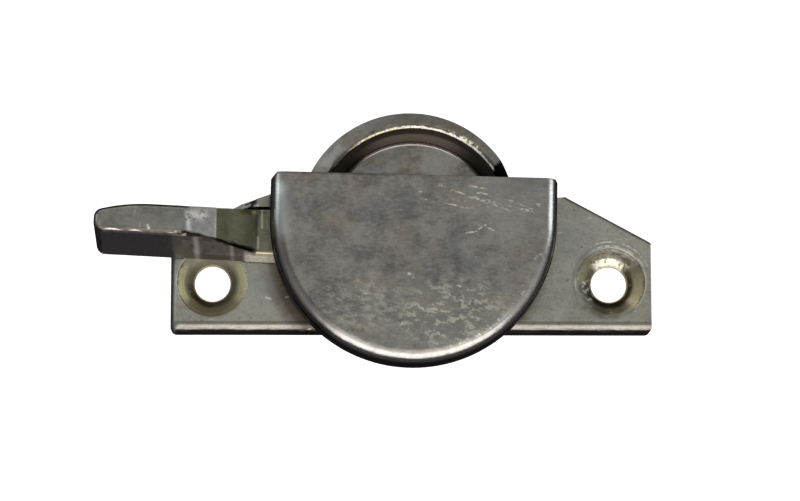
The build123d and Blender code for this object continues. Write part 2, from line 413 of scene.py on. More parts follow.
@dataclass
class Casting:
    """A copy of one CAD casting, merged, softened at its edges and divided, which stands for its node."""

    node: str
    body: Body
    slot: Slot
    merge: float = 0.012 * MM
    widest_round: float = 0.5 * MM
    narrow_round: float = 0.12
    edge_segments: int = 3
    sharp_from: float = 32.0
    smooth_below: float = 36.0
    weight_share: int = 90
    flat_within: float = 1.0
    grid: float = 0.7 * MM
    sliver: float = 0.018 * MM
    unevenness: float = 0.02 * MM
    unevenness_size: float = 5.0 * MM
    raggedness: float = 0.12 * MM
    raggedness_size: float = 0.9 * MM
    piece: bpy.types.Object = field(init=False)

    def copy_of_node(self, source: bpy.types.Object) -> None:
        """Copies the node's mesh into a new piece and joins its loose triangles."""
        self.piece = bpy.data.objects.new(self.node + "_cast", source.data.copy())
        bpy.context.scene.collection.objects.link(self.piece)
        only(self.piece)
        if self.piece.data.has_custom_normals:
            bpy.ops.mesh.customdata_custom_splitnormals_clear()
        self.piece.data.materials.clear()
        edit_all()
        bpy.ops.mesh.remove_doubles(threshold=self.merge)
        bpy.ops.mesh.dissolve_degenerate(threshold=self.merge)
        bpy.ops.mesh.dissolve_limited(angle_limit=math.radians(self.flat_within))
        bpy.ops.object.mode_set(mode="OBJECT")

    def edge_round(self, middle: Vector) -> float:
        """How wide the round on a sharp edge is, in millimetres, or 0; middle is the edge's middle point."""
        return self.narrow_round

    def worn(self, point: Vector) -> float:
        """How much a point, in millimetres, is worn ragged, from 0 to 1; a plain casting has none."""
        return 0.0

    def soften(self) -> None:
        """Rounds the sharp edges a little, as a tumbled and handled casting is."""
        edit_all()
        bpy.ops.mesh.select_all(action="DESELECT")
        bpy.ops.mesh.select_mode(type="EDGE")
        bpy.ops.mesh.edges_select_sharp(sharpness=math.radians(self.sharp_from))
        bpy.ops.object.mode_set(mode="OBJECT")
        mesh = self.piece.data
        weights = mesh.attributes.new("bevel_weight_edge", "FLOAT", "EDGE")
        for edge in mesh.edges:
            if edge.select:
                first, second = (mesh.vertices[index].co for index in edge.vertices)
                width = self.edge_round((first + second) / (2 * MM)) * MM
                weights.data[edge.index].value = width / self.widest_round
        bevel = self.piece.modifiers.new("Bevel", "BEVEL")
        bevel.width = self.widest_round
        bevel.segments = self.edge_segments
        bevel.limit_method = "WEIGHT"
        bevel.use_clamp_overlap = False
        bpy.ops.object.modifier_apply(modifier=bevel.name)
        edit_all()
        bpy.ops.mesh.remove_doubles(threshold=self.sliver / 2)
        bpy.ops.mesh.dissolve_degenerate(threshold=self.sliver / 2)
        bpy.ops.object.mode_set(mode="OBJECT")

    def divide(self) -> None:
        """Cuts the long faces into a grid, so that the surface can be uneven."""
        low, high = box_of(self.piece)
        edit_all()
        for axis in range(3):
            count = int((high[axis] - low[axis]) / self.grid)
            for cut in range(1, count + 1):
                point = [0.0, 0.0, 0.0]
                normal = [0.0, 0.0, 0.0]
                point[axis] = low[axis] + (high[axis] - low[axis]) * cut / (count + 1)
                normal[axis] = 1.0
                bpy.ops.mesh.select_all(action="SELECT")
                bpy.ops.mesh.bisect(plane_co=point, plane_no=normal, threshold=1e-7)
        bpy.ops.mesh.select_all(action="SELECT")
        bpy.ops.mesh.remove_doubles(threshold=self.sliver)
        bpy.ops.object.mode_set(mode="OBJECT")

    def weather(self) -> None:
        """Sinks the surface very slightly and unevenly, and more where it is worn; nothing is pushed outwards."""
        worn = self.piece.vertex_groups.new(name="worn")
        for vertex in self.piece.data.vertices:
            amount = self.worn(vertex.co / MM)
            if amount > 0.0:
                worn.add([vertex.index], amount, "REPLACE")
        self._sink("unevenness", self.unevenness_size, self.unevenness, "")
        self._sink("raggedness", self.raggedness_size, self.raggedness, worn.name)

    def _sink(self, name: str, size: float, strength: float, group: str) -> None:
        """Sinks the surface along its normals by soft noise.

        Args:
            name: the noise's name.
            size: size of its features, in metres.
            strength: the deepest it sinks, in metres.
            group: the vertex group that it is kept to, or nothing for the whole piece.
        """
        clouds = bpy.data.textures.new(f"{self.node}_{name}", "CLOUDS")
        clouds.noise_scale = size
        clouds.noise_depth = 2
        sink = self.piece.modifiers.new("Sink", "DISPLACE")
        sink.texture = clouds
        sink.strength = strength
        sink.mid_level = 1.0
        sink.vertex_group = group
        bpy.ops.object.modifier_apply(modifier=sink.name)

    def smooth(self) -> None:
        """Shades the piece smooth, with the large faces keeping their own normals."""
        only(self.piece)
        bpy.ops.object.shade_smooth_by_angle(angle=math.radians(self.smooth_below))
        weigh = self.piece.modifiers.new("Weigh", "WEIGHTED_NORMAL")
        weigh.weight = self.weight_share
        weigh.keep_sharp = True
        bpy.ops.object.modifier_apply(modifier=weigh.name)

    def work(self) -> None:
        """Shapes what only this casting has; a plain casting has nothing."""

    def dress(self) -> bpy.types.Material:
        """Makes this casting's material."""
        raise NotImplementedError

    def build(self, frame: dict) -> bpy.types.Object:
        """Makes the piece and its finish.


        Returns:
            The finished piece.
        """
        self.copy_of_node(frame["nodes"][self.node])
        self.soften()
        self.divide()
        self.work()
        self.weather()
        self.smooth()
        self.piece.data.materials.append(self.dress())
        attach(self.piece, self.body.value)
        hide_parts(self.node)
        log.info("%s: %d faces", self.piece.name, len(self.piece.data.polygons))
        return self.piece


def only(piece: bpy.types.Object) -> None:
    """Selects one piece, makes it active, and deselects all else."""
    bpy.ops.object.select_all(action="DESELECT")
    piece.select_set(True)
    bpy.context.view_layer.objects.active = piece


def edit_all() -> None:
    """Enters edit mode on the active piece with all of it selected."""
    bpy.ops.object.mode_set(mode="EDIT")
    bpy.ops.mesh.select_all(action="SELECT")


def nearness(distance: float, reach: float) -> float:
    """1 at no distance, falling evenly to 0 at the reach."""
    return 1.0 - min(1.0, abs(distance) / reach)


def box_of(piece: bpy.types.Object) -> tuple[Vector, Vector]:
    """The lowest and highest corner of a piece's mesh."""
    corners = [vertex.co for vertex in piece.data.vertices]
    low = Vector(min(corner[axis] for corner in corners) for axis in range(3))
    high = Vector(max(corner[axis] for corner in corners) for axis in range(3))
    return low, high


@dataclass
class BasePlate(Casting):
    """The plate with its two screw ears."""

    node: str = "base_plate"
    body: Body = Body.HOUSING
    slot: Slot = Slot.PLATE
    crisp_below: float = 2.2
    front_middle: float = -6.9
    front_reach: float = 0.9
    front_wear: float = 0.6
    hole_left: Point = (-28.575, 0.0)
    hole_right: Point = (28.575, 0.0)
    hole_edge: float = 2.57
    cone_edge: float = 5.05
    hole_floor: float = 0.45
    bruise_edge: float = 3.8
    bruise_slope: float = 26.0
    bruise_spread: float = 52.0
    bruise_fade: float = 12.0
    bruise_lip: float = 0.35
    bruise_heights: Point = (0.5, 3.2)
    bruise_behind: float = 0.3
    bruise_gap: float = 0.05

    def edge_round(self, middle: Vector) -> float:
        """The upper edges are rounded; the underside and the small holes stay crisp."""
        return self.narrow_round if middle.z > self.crisp_below else 0.0

    def worn(self, point: Vector) -> float:
        """The front edge is worn wavy."""
        near = nearness(point.y - self.front_middle, self.front_reach)
        return near * self.front_wear if point.z > self.crisp_below else 0.0

    def work(self) -> None:
        """Bruises the back of the right-hand countersink, where a screw has been driven crookedly."""
        centre = Vector(self.hole_right)
        self._refine_back(centre)
        slope = math.tan(math.radians(self.bruise_slope))
        limit = self.bruise_edge + self.bruise_lip
        for vertex in self.piece.data.vertices:
            across = (vertex.co / MM).xy - centre
            reach = across.length
            turned = abs(math.degrees(math.atan2(across.x, across.y)))
            bruised = self.hole_edge + self.bruise_gap < reach < limit and turned <= self.bruise_spread
            if bruised and vertex.co.z >= self.bruise_behind * MM:
                sideways = min(1.0, (self.bruise_spread - turned) / self.bruise_fade)
                outwards = min(1.0, (limit - reach) / self.bruise_lip)
                level = self.hole_floor + (reach - self.hole_edge) * slope
                vertex.co.z -= max(0.0, vertex.co.z / MM - level) * (sideways * outwards) * MM

    def _refine_back(self, centre: Vector) -> None:
        """Divides the faces at the back of a countersink more finely."""
        only(self.piece)
        bpy.ops.object.mode_set(mode="EDIT")
        bpy.ops.mesh.select_mode(type="FACE")
        bpy.ops.mesh.select_all(action="DESELECT")
        bpy.ops.object.mode_set(mode="OBJECT")
        lowest, highest = self.bruise_heights
        for face in self.piece.data.polygons:
            middle = face.center / MM
            near = (middle.xy - centre).length < self.cone_edge
            face.select = near and middle.y > self.bruise_behind and lowest < middle.z < highest
        bpy.ops.object.mode_set(mode="EDIT")
        bpy.ops.mesh.subdivide(number_cuts=2)
        bpy.ops.object.mode_set(mode="OBJECT")

    def screw_hole(self, skin: Skin, hole: Point) -> None:
        """Olive stain in a countersink, a dark ring round the bore that is darkest on its low side as painted shade,
        and a thin golden painted highlight at the hole's edge.
        """
        about = skin.place(hole)
        radius = about.radius()
        ragged = radius + (skin.noise(about, 0.8) - 0.5) * 0.5
        cone = ragged.ramp(self.cone_edge + 0.25, self.cone_edge - 0.6)
        skin.rub(cone, skin.mix(skin.noise(about, 0.5), (0.66, 0.64, 0.50), (0.52, 0.51, 0.42)), -0.10)
        outline = ragged.band(self.cone_edge - 0.25, self.cone_edge + 0.1, 0.25)
        skin.stain(outline * about.towards(-60.0, 80.0, 30.0), (0.80, 0.78, 0.72))
        # painted shade: the ring is darkest on the cone's low side
        low = about.towards(-70.0, 140.0, 60.0, 0.6) + 0.4
        skin.stain(ragged.band(self.hole_edge + 0.1, 3.25, 0.6) * low, (0.24, 0.21, 0.15), 0.08)
        lowest = about.towards(-80.0, 80.0, 20.0) * 0.7
        skin.stain(ragged.band(3.1, 4.3, 0.5) * lowest, (0.55, 0.50, 0.40), 0.05)
        # painted highlight: a thin golden line at the hole's edge
        skin.rub(radius.band(self.hole_edge - 0.4, self.hole_edge + 0.16, 0.06), (1.0, 0.88, 0.58), -0.05)

    def left_hole(self, skin: Skin) -> None:
        """A painted pale highlight on each side of the left-hand countersink."""
        for side, strength in ((180.0, 1.0), (0.0, 0.6)):
            skin.rub(skin.ring(self.hole_left, 4.5, 0.8, 0.3, side, 46.0) * strength, (1.0, 0.98, 0.74), 0.10)

    def right_hole(self, skin: Skin, place: Place) -> None:
        """Grime, bare metal, chips and fine arcs round the right-hand countersink, scraped by a crooked screw, and a
        painted highlight on its bruised back.
        """
        hole = self.hole_right
        grime = skin.ring(hole, 4.0, 2.6, 0.5) * skin.patchy(place, 0.5, 0.30, 0.55)
        skin.stain(grime * place.x.ramp(31.0, 29.0), (0.70, 0.71, 0.72), 0.12)
        skin.stain(skin.ring(hole, 3.6, 1.6, 0.4, -120.0, 80.0), (0.62, 0.63, 0.64), 0.12)
        rough = skin.ring(hole, 4.5, 0.9, 0.5, 190.0, 52.0) * skin.patchy(place, 1.3, 0.42, 0.62)
        skin.rub(rough * 0.45, (0.62, 0.61, 0.55), -0.2, 0.02)
        skin.rub(skin.ring(hole, 4.3, 1.3, 0.5, -12.0, 42.0) * 0.8, (0.90, 0.85, 0.62), 0.06)
        # painted highlight on the bruised back of the countersink
        bruise_highlight = skin.ring(hole, 3.55, 1.3, 0.25, 88.0, 56.0) * skin.patchy(place, 1.8, 0.34, 0.46, detail=2.0)
        skin.rub(bruise_highlight, (1.0, 0.97, 0.84), depth=0.03)
        chips = skin.ring(hole, 3.4, 0.9, 0.4, 196.0, 34.0) * skin.patchy(place, 1.5, 0.50, 0.60)
        skin.rub(chips * 0.8, (0.95, 0.93, 0.80), -0.12)
        arcs = skin.ring(hole, 5.5, 1.4, 0.3, 72.0, 58.0)
        lines = (skin.place(hole).radius() * 11.0).sine().ramp(0.0, 0.7)
        skin.rub(arcs * lines * skin.patchy(place, 1.7, 0.42, 0.56, 0.75), (0.96, 0.94, 0.86), -0.03, 0.02)

    def edges(self, skin: Skin, place: Place) -> None:
        """A painted cool reflection on the left end, a dark slanting edge at the right, and painted shade on the front
        edge, just behind it and on the front face.
        """
        # painted reflection: a cool cast on the left end
        left_end = place.x.ramp(-33.1, -33.7) * place.y.ramp(6.0, 5.0)
        skin.stain(left_end, (0.92, 1.0, 1.0), 0.10)
        slant = skin.place((28.3, 9.05), -28.4)
        skin.stain(slant.y.ramp(-0.42, -0.15) * place.x.ramp(21.0, 22.0), (0.34, 0.33, 0.32), 0.1)
        # painted shade just behind the front edge, trimming its highlight
        highlight_trim_shade = place.y.band(-6.15, -5.75, 0.15) * place.z.ramp(2.9, 3.1)
        skin.stain(highlight_trim_shade, (0.62, 0.60, 0.59))
        # painted shade: the front edge darkened in patches to dim its highlight
        ground = place.z.ramp(3.22, 3.05) * place.y.ramp(-5.4, -6.0)
        patchy = skin.patchy(skin.place((0.0, 3.0), 0.0, (0.5, 2.0, 1.0)), 1.2, 0.3, 0.6, 0.6) + 0.4
        skin.rub(ground * patchy * place.x.ramp(-34.0, -33.4), (0.22, 0.20, 0.19), 0.14)
        # painted shade on the front face
        skin.stain(place.z.ramp(2.5, 1.9) * place.y.ramp(-5.0, -6.5), (0.90, 0.86, 0.88))

    def by_the_cap(self, skin: Skin, place: Place) -> None:
        """Painted shadow and reflection of the cap on the plate along its foot, darkest at the lower left and faint at
        the right.
        """
        about = skin.place(PIVOT)
        # painted shadow and reflection of the cap on the plate
        wide = (about.radius() + skin.noise(place, 0.5) * 1.5).ramp(23.6, 20.8)
        wide = wide * place.x.ramp(8.0, -4.0, 0.85)
        skin.stain(wide * place.z.ramp(3.0, 3.2) * 0.7, (0.72, 0.67, 0.62), 0.04)
        # painted shade in the corner at the cap's foot
        corner = about.radius().ramp(21.6, 20.7) * place.y.ramp(6.0, 3.0)
        skin.stain(corner * place.x.ramp(8.0, -4.0, 0.8), (0.58, 0.53, 0.51), 0.1)
        # painted shadow thrown to the lower left
        shade = (about.radius() + skin.noise(place, 0.6) * 0.8).ramp(23.6, 22.2)
        skin.stain(shade * about.towards(-142.0, 34.0, 12.0) * 0.7, (0.62, 0.57, 0.55), 0.05)

    def small_marks(self, skin: Skin, place: Place) -> None:
        """A paler patch and a nick on the left ear, painted shade with painted glints on the lug's slope, and
        scattered marks.
        """
        skin.rub(skin.patch((-24.5, -1.8), (9.0, 6.5), 0.0, 2.5) * 0.3, (0.60, 0.61, 0.55))
        skin.rub(skin.patch((-20.5, -2.4), (0.9, 0.3), -20.0, 0.15), (0.85, 0.84, 0.78), 0.05, 0.02)
        # painted shade on the lug's slope
        slope = place.x.band(-24.1, -22.1, 0.15) * place.z.ramp(3.4, 3.6)
        skin.stain(slope * place.y.ramp(9.8, 10.1), (0.42, 0.44, 0.46), -0.08)
        # painted highlights: glints on the lug's slope
        glint = skin.patch((-23.45, 10.85), (0.9, 0.4), 25.0, 0.2)
        skin.rub(glint.most(skin.patch((-22.3, 10.7), (0.7, 0.4), 0.0, 0.2)), (1.0, 1.0, 0.98), -0.25)
        nicks = skin.specks(skin.place((1.0, 2.0), 12.0, (0.5, 1.3, 1.0)), 0.55, 0.13)
        skin.rub(nicks * 0.6, (0.72, 0.71, 0.66), 0.05, 0.02)
        skin.stain(skin.specks(skin.place((7.0, 3.0)), 0.55, 0.12), (0.70, 0.68, 0.62), 0.05)

    def dress(self) -> bpy.types.Material:
        """Light grey zinc, stained olive round the screw holes, worn at its front, with painted shadow along the cap
        and painted highlights and shade at its holes and edges.
        """
        skin = Skin(PLATE_PATINA)
        place = skin.whole
        for hole in (self.hole_left, self.hole_right):
            self.screw_hole(skin, hole)
        self.left_hole(skin)
        self.right_hole(skin, place)
        self.edges(skin, place)
        self.by_the_cap(skin, place)
        self.small_marks(skin, place)
        return skin.done()


@dataclass(frozen=True)
class Stroke:
    """One scratch: its middle, length, the way that it runs in degrees from +X, and its width, in millimetres."""

    middle: Point
    length: float
    turn: float
    width: float = 0.24

    def mask(self, recipe: Recipe) -> Value:
        """1 on the scratch, 0 off it."""
        place = recipe.place(self.middle, self.turn, (2 / self.length, 2 / self.width, 0.0))
        reach = recipe.node("VectorMath", {"operation": "LENGTH"}, {0: place.vector}, "Value")
        return reach.ramp(1.5, 0.7)


@dataclass
class HousingCap(Casting):
    """The D-shaped cap."""

    node: str = "housing_cap"
    body: Body = Body.HOUSING
    slot: Slot = Slot.CAP
    top: float = 14.0
    roof_from: float = 12.2
    round_middle: float = 19.2
    round_reach: float = 1.2
    round_height: float = 1.6
    round_wear: float = 0.35
    worn_before: float = 2.0
    bare: Colour = (0.84, 0.82, 0.72)
    strokes: tuple[Stroke, ...] = (
        Stroke((1.3, 11.3), 1.3, 0.0), Stroke((4.0, 12.2), 1.3, -5.0), Stroke((6.3, 11.3), 1.8, -18.0),
        Stroke((2.4, 10.0), 2.2, -18.0), Stroke((6.0, 9.4), 3.0, -13.0), Stroke((9.0, 12.0), 2.2, -10.0),
        Stroke((9.7, 11.1), 2.1, -8.0), Stroke((9.7, 10.2), 3.4, -12.0, 0.36), Stroke((12.4, 9.1), 2.3, -22.0),
        Stroke((14.7, 9.7), 2.4, -20.0), Stroke((15.7, 8.8), 2.1, -14.0), Stroke((17.6, 9.6), 0.5, 0.0),
        Stroke((9.6, 6.3), 1.7, 32.0), Stroke((11.0, 6.0), 1.6, -25.0), Stroke((8.2, 5.6), 1.4, 8.0),
        Stroke((-0.35, -0.5), 1.3, -32.0, 0.5), Stroke((6.7, -2.1), 1.3, -20.0), Stroke((3.5, -5.4), 2.2, -13.0, 0.34),
        Stroke((6.5, -6.65), 1.0, 0.0, 0.32), Stroke((8.7, -6.4), 1.8, -14.0), Stroke((-1.3, -7.2), 1.1, 20.0, 0.5),
        Stroke((1.0, -5.0), 1.3, -45.0, 0.4), Stroke((-6.7, -2.9), 0.9, 30.0, 0.6),
        Stroke((3.3, -8.5), 1.6, -35.0, 0.3),
    )

    def edge_round(self, middle: Vector) -> float:
        """Only the roof's back edge is rounded besides what the CAD rounds."""
        return self.narrow_round if middle.z > self.roof_from else 0.0

    def worn(self, point: Vector) -> float:
        """The front of the round edge is worn a little uneven."""
        near = nearness((point.xy - Vector(PIVOT)).length - self.round_middle, self.round_reach)
        in_front = point.z > self.top - self.round_height and point.y < self.worn_before
        return near * self.round_wear if in_front else 0.0

    def scratches(self, skin: Skin, broken: Value) -> None:
        """The cap's own scratches, and finer ones round them."""
        strokes = self.strokes[0].mask(skin)
        for stroke in self.strokes[1:]:
            strokes = strokes.most(stroke.mask(skin))
        skin.rub(strokes * broken, self.bare, 0.02)
        fine = skin.specks(skin.place((3.0, 1.0), -12.0, (0.45, 1.9, 0.0)), 1.3, 0.36)
        broad = skin.specks(skin.place((9.0, 2.0), 10.0, (0.6, 1.3, 0.0)), 1.0, 0.34)
        upper = skin.patch((10.5, 10.2), (15.0, 1.6), -10.0, 1.6) * fine
        middle = skin.patch((10.4, 6.1), (4.0, 1.0), 14.0, 1.2) * broad
        lower = skin.patch((6.5, -5.9), (9.0, 2.0), -12.0, 1.8) * broad * 0.7
        skin.rub(upper.most(middle).most(lower) * broken, (0.72, 0.70, 0.60), 0.02)

    def smudges(self, skin: Skin, place: Place) -> None:
        """Pale smudges low down, and a small swirl among them."""
        smudge = skin.noise(skin.place((4.0, 3.0), -18.0, (0.8, 1.4, 1.0)), 0.9, 5.0, 0.7)
        right = skin.spot((5.5, -6.0), (0.6, 1.0, 1.0), 6.5, 2.5, 0.8)
        left = skin.spot((-7.0, -4.5), (0.7, 1.0, 1.0), 5.5, 2.5, 0.45)
        skin.rub(smudge.ramp(0.50, 0.58) * right.most(left), (0.74, 0.71, 0.58), 0.02)
        oval = skin.place((3.5, -9.45), -12.0, (0.72, 1.1, 1.0)).radius()
        swirl = oval.band(0.66, 0.86, 0.2) * skin.patchy(place, 1.4, 0.40, 0.6)
        skin.rub(swirl * 0.8, (0.70, 0.69, 0.60), 0.02)

    def nicks(self, skin: Skin, broken: Value) -> None:
        """Nicks at the right and low on the rounding, and a light and dark haze over all."""
        right = skin.patch((17.9, 3.0), (1.6, 3.6), -12.0, 0.8)
        specks = skin.specks(skin.place((0.4, 0.2), 30.0, (1.0, 1.0, 0.0)), 1.6, 0.42)
        low = skin.ring(PIVOT, 18.3, 0.8, 0.6, -52.0, 26.0) * 0.8
        skin.rub(right.most(low) * specks * broken, self.bare, 0.04)
        haze = skin.noise(skin.place((1.0, 5.0), -4.0, (0.6, 1.8, 1.0)), 1.5, 4.0, 0.7)
        skin.rub(haze.ramp(0.52, 0.68, 0.45), (0.47, 0.46, 0.42))
        skin.stain(haze.ramp(0.46, 0.34, 0.45), (0.74, 0.73, 0.72))

    def edges(self, skin: Skin, place: Place) -> None:
        """The rounding worn bright with a painted highlight, walls darkened as painted shade, painted shade at the
        foot and low on the left of the rounding, a painted highlight on the left side, a dark back edge.
        """
        # worn bright and a painted highlight on the rounding, strongest at the front
        worn_and_highlight = place.z.ramp(self.top - 0.03, self.top - 0.28)
        worn_and_highlight = worn_and_highlight * place.z.ramp(self.top - 2.6, self.top - 2.0)
        uneven = skin.patchy(place, 0.8, 0.25, 0.6, 0.3) + 0.65
        skin.rub(worn_and_highlight * uneven * (place.y.ramp(2.0, -4.0) * 0.5 + 0.4), (0.66, 0.65, 0.62), 0.03)
        # painted shade on the walls, strongest at the front
        wall = place.z.ramp(self.top - 1.1, self.top - 1.65)
        skin.stain(wall * (place.y.ramp(6.0, -4.0, 0.4) + 0.6), (0.36, 0.35, 0.38), 0.02)
        # painted shade low on the left of the rounding
        skin.stain(skin.ring(PIVOT, 19.3, 1.5, 0.5, 206.0, 36.0), (0.48, 0.47, 0.47))
        # painted shade at the foot
        skin.stain(place.z.ramp(4.2, 3.6), (0.25, 0.24, 0.23), 0.5)
        # painted highlight on the left side of the rounding
        left = skin.patch((-18.4, 9.0), (1.2, 8.0), 4.0, 1.0).most(skin.patch((-18.4, 11.6), (1.0, 2.6), 0.0, 0.8))
        skin.rub(left * 0.6, (0.66, 0.70, 0.69), 0.02)
        skin.rub(skin.patch((-18.7, 11.8), (0.7, 1.8), 8.0, 0.6) * 0.6, (0.95, 1.0, 1.0), 0.02)
        back = skin.place((0.0, 13.85), -1.3)
        skin.stain(back.y.ramp(-0.5, -0.1) * back.x.ramp(8.0, -6.0) * 0.7, (0.42, 0.42, 0.43), 0.1)

    def dress(self) -> bpy.types.Material:
        """Dull grey zinc, mottled brown and slate, scratched, worn bright round its edge, with painted highlights and
        shade along its edges.
        """
        skin = Skin(CAP_PATINA)
        place = skin.whole
        skin.stain(skin.spot((3.0, 1.0), (1.0, 1.2, 1.0), 9.0, 3.0, 0.5), (0.88, 0.90, 0.93))
        skin.rub(skin.spot((4.0, -6.5), (0.6, 1.0, 1.0), 6.5, 2.0, 0.35), (0.44, 0.42, 0.36))
        skin.rub(skin.spot((14.0, 9.0), (0.7, 1.0, 1.0), 7.0, 2.0, 0.4), (0.46, 0.455, 0.42))
        broken = skin.patchy(skin.place((2.0, 7.0), -10.0, (0.9, 1.4, 1.0)), 2.4, 0.44, 0.56)
        self.scratches(skin, broken)
        self.smudges(skin, place)
        self.nicks(skin, broken)
        self.edges(skin, place)
        return skin.done(WALL_TINT)


@dataclass
class CamLever(Casting):
    """The cup cam with its lever."""

    node: str = "cam_lever"
    body: Body = Body.LEVER
    slot: Slot = Slot.LEVER
    rim_top: float = 11.2
    cup_floor: float = 6.0
    mouth: float = 13.6
    floor_edge: float = 12.35
    floor_round: float = 0.4
    grip_start: float = -32.0
    grip_end: float = -31.4
    grip_top: float = 11.5
    grip_round: float = 0.44
    web_start: float = -22.0
    web_low: float = 6.8
    crisp_below: float = 4.6
    crisp_within: float = 8.0
    arm_start: float = -13.0
    arm_back: float = 8.0
    same_level: float = 0.1
    same_line: float = 0.3
    front_start: float = 0.578
    front_slant: float = -0.0517
    front_lean: float = 0.265
    back_start: float = 9.74
    back_slant: float = -0.046
    back_lean: float = -0.14
    front_streaks: tuple[Point, ...] = ((-30.6, 0.7), (-25.6, 0.4))

    def edge_round(self, middle: Vector) -> float:
        """A fillet at the foot of the cup's wall, a worn round along the grip's front, narrow ones elsewhere."""
        radius = (middle.xy - Vector(PIVOT)).length
        if abs(middle.z - self.cup_floor) < self.same_level and abs(radius - self.floor_edge) < self.same_line:
            return self.floor_round
        on_grip = middle.x < self.grip_start and middle.z > self.grip_top
        if on_grip and abs(self.behind_front(middle)) < self.same_line:
            return self.grip_round
        on_back = middle.x < self.arm_start and middle.y > self.arm_back
        if middle.z < self.crisp_below or radius < self.crisp_within or on_back:
            return 0.0
        return self.narrow_round

    def worn(self, point: Vector) -> float:
        """The rim's inner edge, the grip's front edge and the end of the grip's top are worn ragged."""
        if point.z > self.rim_top - 0.6 and point.y > 12.0:
            return nearness((point.xy - Vector(PIVOT)).length - self.mouth - 0.2, 0.7)
        if point.x < self.web_start and point.z > self.web_low:
            edge = nearness(self.behind_front(point) - 0.2, 0.5) * 0.8
            return max(edge, nearness(point.x - self.grip_end, 1.0) * 0.9)
        return 0.0

    def behind_front(self, point: Vector | Place) -> float | Value:
        """How far a point lies behind the lever's leaning front face, in millimetres."""
        return point.y - (point.x * self.front_slant + point.z * self.front_lean + self.front_start)

    def before_back(self, point: Vector | Place) -> float | Value:
        """How far a point lies before the lever's leaning back face, in millimetres."""
        return (point.x * self.back_slant + point.z * self.back_lean + self.back_start) - point.y

    def rim(self, skin: Skin, place: Place, about: Place) -> None:
        """A brownish rim, with its lead-in dark and a pale patch at its left."""
        top = place.z.ramp(10.9, 11.1) * place.y.ramp(11.0, 12.5)
        lead = about.bearing().ramp(37.0, 35.0) * about.bearing().ramp(8.0, 12.0)
        lead = lead * place.z.ramp(6.2, 6.6) * about.radius().ramp(13.0, 13.4)
        skin.stain(lead, (0.22, 0.20, 0.20), 0.1)
        skin.stain(top * about.towards(75.0, 50.0, 15.0), (0.78, 0.74, 0.72), 0.04)
        pale = skin.patch((-11.6, 16.9), (4.6, 1.8), 52.0, 0.9) * top
        skin.rub(pale * skin.patchy(place, 0.6, 0.3, 0.6), (0.52, 0.53, 0.50))

    def rim_edge(self, skin: Skin, place: Place, about: Place) -> None:
        """The rim's inner edge, worn down to golden and white metal with a painted highlight at the back of the rim,
        and chipped at its right.
        """
        radius = about.radius()
        behind = place.y.ramp(11.0, 12.5)
        wavy = radius + (skin.noise(place, 1.2) - 0.5) * 0.6
        # worn metal and a painted highlight, kept to the back of the rim
        edge = wavy.band(self.mouth - 0.1, self.mouth + 0.2, 0.14) * behind
        edge = edge * place.z.ramp(self.rim_top - 0.55, self.rim_top - 0.4)
        edge = edge * about.bearing().ramp(134.0, 122.0)
        broken = skin.patchy(place, 2.2, 0.35, 0.55, 0.6) + 0.4
        gold = place.x.ramp(3.0, -5.0) * skin.patchy(place, 1.0, 0.25, 0.5)
        brink = radius.band(self.mouth - 0.1, self.mouth + 0.7, 0.05) * behind
        skin.stain(brink * place.z.ramp(self.rim_top - 0.02, self.rim_top - 0.06), (0.42, 0.39, 0.36))
        skin.rub(edge * broken, skin.mix(gold, BARE_ZINC_HIGHLIGHT, GOLD_ZINC_HIGHLIGHT), -0.04)
        chipped = radius.band(self.mouth + 0.1, self.mouth + 0.55, 0.3) * behind
        chips = skin.noise(place, 1.5, 2.0, 0.6).ramp(0.50, 0.60) * about.towards(60.0, 16.0, 6.0)
        skin.rub(chipped * chips * 0.9, (0.90, 0.87, 0.68), -0.06, 0.05)

    def cup(self, skin: Skin, place: Place, about: Place) -> None:
        """The cup's brown wall with a painted sheen low down, a thin painted line of light at its foot, darkening
        along the foot, and a murky floor.
        """
        radius = about.radius()
        behind = place.y.ramp(11.0, 12.5)
        wall = radius.ramp(self.mouth - 0.02, self.mouth - 0.1) * behind
        wall = wall * place.z.ramp(self.cup_floor + 0.35, self.cup_floor + 0.6)
        skin.stain(wall, (0.62, 0.54, 0.49), 0.05)
        # painted sheen on the wall
        sheen = place.z.band(6.7, 8.7, 0.8) * about.towards(88.0, 48.0, 18.0, 0.6) + 0.22
        skin.rub(wall * sheen, (1.0, 0.88, 0.76), -0.40)
        # painted line of light at the wall's foot
        foot = radius.band(12.0, 12.5, 0.12) * place.z.band(5.8, 6.3, 0.08)
        skin.rub(foot * about.towards(90.0, 44.0, 24.0) * behind, (0.66, 0.60, 0.57))
        # darker along the wall's foot
        dirt = radius.band(11.9, 12.6, 0.1) * place.z.band(5.9, 6.5, 0.05)
        skin.stain(dirt * about.towards(90.0, 30.0, 46.0), (0.40, 0.36, 0.33), 0.1)
        floor = radius.ramp(12.2, 11.8) * place.z.band(5.8, 6.1, 0.05)
        murk = skin.noise(skin.place((2.0, 1.0), 25.0, (0.7, 1.3, 1.0)), 0.45, 5.0, 0.7)
        skin.stain(floor * murk.ramp(0.46, 0.60, 0.8), (0.74, 0.70, 0.64), 0.05)
        skin.rub(floor * abs(place.x - 4.0).ramp(3.5, 1.0) * 0.35, (0.55, 0.54, 0.49))

    def worn_end(self, skin: Skin, above: Value, ragged: Value) -> None:
        """The end of the grip's top, worn down to rough grey and bright metal."""
        rough = skin.patch((-29.6, 7.2), (3.6, 4.6), 0.0, 0.2) * above
        skin.rub(rough * (ragged.ramp(0.30, 0.66, 0.5) + 0.25), (0.52, 0.515, 0.49), -0.05, 0.02)
        bright = skin.patch((-31.6, 7.4), (0.5, 2.8), 4.0, 0.35).most(
            skin.patch((-30.4, 8.3), (2.6, 1.1), 4.0, 0.6))
        skin.rub(bright * ragged.ramp(0.38, 0.52), (0.86, 0.85, 0.84), -0.05, 0.05)

